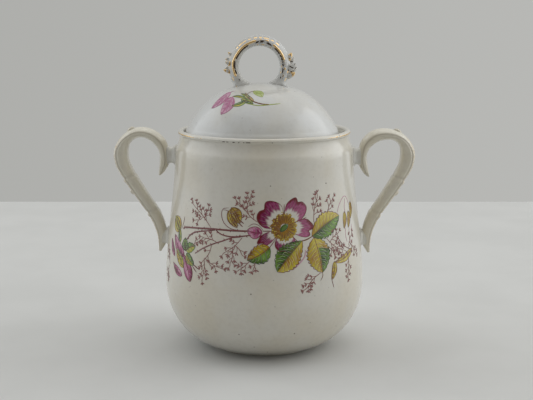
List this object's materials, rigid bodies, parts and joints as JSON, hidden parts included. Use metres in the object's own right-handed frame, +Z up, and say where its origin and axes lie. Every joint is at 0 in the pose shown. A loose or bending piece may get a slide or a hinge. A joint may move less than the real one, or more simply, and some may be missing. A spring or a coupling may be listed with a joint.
{
  "type": "covered sugar bowl",
  "caption": "Barrel-shaped glazed ceramic sugar bowl with scroll handles and a lift-off domed lid carrying a ring knob.",
  "frame": {"origin": "middle of the foot ring on the surface the bowl stands on", "axes": "+Z up along the bowl's axis, +X through the right handle, the decorated front faces -Y"},
  "size_m": [0.1625, 0.1078, 0.1679],
  "materials": {
    "body_glaze": "clear glossy glaze over warm ivory-white ware, fine dark specks",
    "handle_glaze": "glossy glaze over grey-cream ware, worn tint along the edges",
    "lid_glaze": "clear glossy glaze over cool white ware",
    "gilt_glaze": "worn gilding over white glaze"
  },
  "bodies": {
    "bowl_with_handles": {"bowl": "body_glaze", "left_handle": "handle_glaze", "right_handle": "handle_glaze", "left_upper_stub": "body_glaze", "left_lower_stub": "body_glaze", "right_upper_stub": "body_glaze", "right_lower_stub": "body_glaze"},
    "lid_with_ring": {"lid": "lid_glaze", "ring_knob": "gilt_glaze", "left_leaf_sprig": "gilt_glaze", "right_leaf_sprig": "gilt_glaze"}
  },
  "joints": [
    {"name": "lid_lift", "type": "slide", "parent": "bowl_with_handles", "child": "lid_with_ring", "axis": [0, 0, 1], "range_m": [0, 0.06]}
  ]
}
